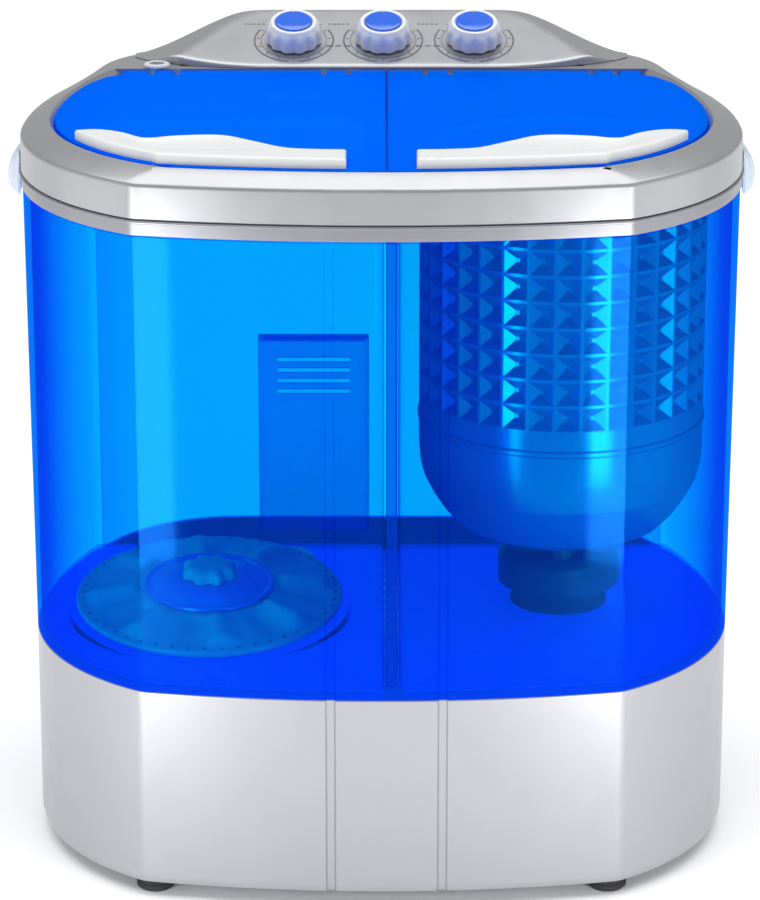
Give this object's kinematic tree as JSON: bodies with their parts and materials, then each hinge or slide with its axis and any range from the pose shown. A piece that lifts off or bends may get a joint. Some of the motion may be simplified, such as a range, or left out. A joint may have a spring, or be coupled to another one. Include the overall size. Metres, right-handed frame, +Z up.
{
  "type": "twin tub washer",
  "caption": "Portable twin tub washer: translucent blue body on a silver base, silver top ring, lids with white wave handles, a knob panel, a pulsator and a spin basket.",
  "frame": {"origin": "on the floor under the middle of the machine's bounding box", "axes": "+Z up, -Y towards the front where the user stands, +X to the user's right, on the spin tub's side"},
  "size_m": [0.4422, 0.3297, 0.4793],
  "materials": {
    "silver_plastic": "satin moulded plastic with a silver pearl",
    "blue_clear": "clear blue moulded plastic, glossy",
    "white_plastic": "smooth white moulded plastic",
    "ice_plastic": "bluish white translucent moulded plastic",
    "knob_blue": "glossy blue plastic",
    "pulsator_plastic": "grey-blue moulded plastic",
    "clear_plastic": "clear dimpled plastic",
    "black_plastic": "black moulded plastic",
    "rubber": "matt black rubber",
    "steel": "brushed steel",
    "motor_alloy": "cast alloy",
    "grey_plastic": "grey moulded plastic"
  },
  "bodies": {
    "casing": {"base_housing": "silver_plastic", "base_plate": "grey_plastic", "foot_front_left": "rubber", "foot_front_right": "rubber", "foot_rear_left": "rubber", "foot_rear_right": "rubber", "rear_cover": "silver_plastic", "rear_cover_screw_1": "steel", "rear_cover_screw_2": "steel", "cable_gland": "rubber", "tub_shell": "blue_clear", "trim_band": "silver_plastic", "top_frame": "silver_plastic", "water_inlet": "grey_plastic", "side_grip_left": "ice_plastic", "side_grip_right": "ice_plastic", "wash_lid_hinge_rod": "steel", "spin_lid_hinge_rod": "steel", "lid_switch": "black_plastic", "control_panel": "silver_plastic", "wash_timer": "grey_plastic", "drain_selector": "grey_plastic", "spin_timer": "grey_plastic", "wash_bearing": "black_plastic", "drive_belt": "rubber", "wash_motor": "motor_alloy", "wash_motor_mount": "rubber", "capacitor": "grey_plastic", "spin_seal": "rubber", "spin_motor": "motor_alloy", "spin_motor_mount": "rubber", "overflow_cover": "blue_clear", "drain_cover": "grey_plastic", "drain_valve_body": "grey_plastic", "drain_valve_spring": "steel", "drain_outlet": "grey_plastic"},
    "wash_lid": {"wash_lid": "blue_clear", "wash_lid_handle": "white_plastic"},
    "spin_lid": {"spin_lid": "blue_clear", "spin_lid_handle": "white_plastic"},
    "wash_timer_knob": {"wash_timer_knob": "white_plastic", "wash_timer_knob_cap": "knob_blue"},
    "drain_selector_knob": {"drain_selector_knob": "white_plastic", "drain_selector_knob_cap": "knob_blue"},
    "spin_timer_knob": {"spin_timer_knob": "white_plastic", "spin_timer_knob_cap": "knob_blue"},
    "agitator": {"pulsator": "pulsator_plastic", "pulsator_cap": "knob_blue", "pulsator_knob": "pulsator_plastic", "pulsator_screw": "steel", "wash_shaft": "steel", "wash_pulley": "black_plastic"},
    "wash_rotor": {"wash_motor_pulley": "motor_alloy"},
    "spinner": {"spin_basket": "clear_plastic", "basket_rim": "white_plastic", "spin_coupling": "black_plastic", "spin_shaft": "steel", "brake_drum": "motor_alloy"},
    "brake_lever": {"brake_lever": "steel"},
    "drain_valve": {"drain_valve_plunger": "rubber"}
  },
  "joints": [
    {"name": "wash_lid_hinge", "type": "hinge", "parent": "casing", "child": "wash_lid", "pos_m": [-0.0815, 0.092, 0.4435], "axis": [-1, 0, 0], "range_deg": [0, 88]},
    {"name": "spin_lid_hinge", "type": "hinge", "parent": "casing", "child": "spin_lid", "pos_m": [0.0865, 0.092, 0.4435], "axis": [-1, 0, 0], "range_deg": [0, 88]},
    {"name": "wash_timer_turn", "type": "hinge", "parent": "casing", "child": "wash_timer_knob", "pos_m": [-0.055, 0.1275, 0.46101], "axis": [0, 0.3338, -0.9426], "range_deg": [0, 300]},
    {"name": "drain_selector_turn", "type": "hinge", "parent": "casing", "child": "drain_selector_knob", "pos_m": [0.001, 0.1275, 0.46101], "axis": [0, 0.3338, -0.9426], "range_deg": [0, 120]},
    {"name": "spin_timer_turn", "type": "hinge", "parent": "casing", "child": "spin_timer_knob", "pos_m": [0.058, 0.1275, 0.46101], "axis": [0, 0.3338, -0.9426], "range_deg": [0, 300]},
    {"name": "pulsator_spin", "type": "hinge", "parent": "casing", "child": "agitator", "pos_m": [-0.106, -0.024, 0.145], "axis": [0, -0.0958, 0.9954], "continuous": true},
    {"name": "wash_rotor_spin", "type": "hinge", "parent": "casing", "child": "wash_rotor", "pos_m": [-0.002, -0.024, 0.145], "axis": [0, -0.0958, 0.9954], "continuous": true},
    {"name": "basket_spin", "type": "hinge", "parent": "casing", "child": "spinner", "pos_m": [0.11, 0, 0.2], "axis": [0, 0, 1], "continuous": true},
    {"name": "brake_lever_turn", "type": "hinge", "parent": "casing", "child": "brake_lever", "pos_m": [0.1465, 0.045, 0.11], "axis": [0, 0, 1], "range_deg": [-2.8, 0]},
    {"name": "drain_valve_lift", "type": "slide", "parent": "casing", "child": "drain_valve", "axis": [0, 0, 1], "range_m": [0, 0.006], "deforming": ["drain_valve_spring"]}
  ],
  "couplings": [
    {"joint": "wash_rotor_spin", "follows": "pulsator_spin", "ratio": 3.1667},
    {"joint": "brake_lever_turn", "follows": "spin_lid_hinge", "ratio": -0.0318},
    {"joint": "drain_valve_lift", "follows": "drain_selector_turn", "m_per_rad": 0.00286}
  ]
}
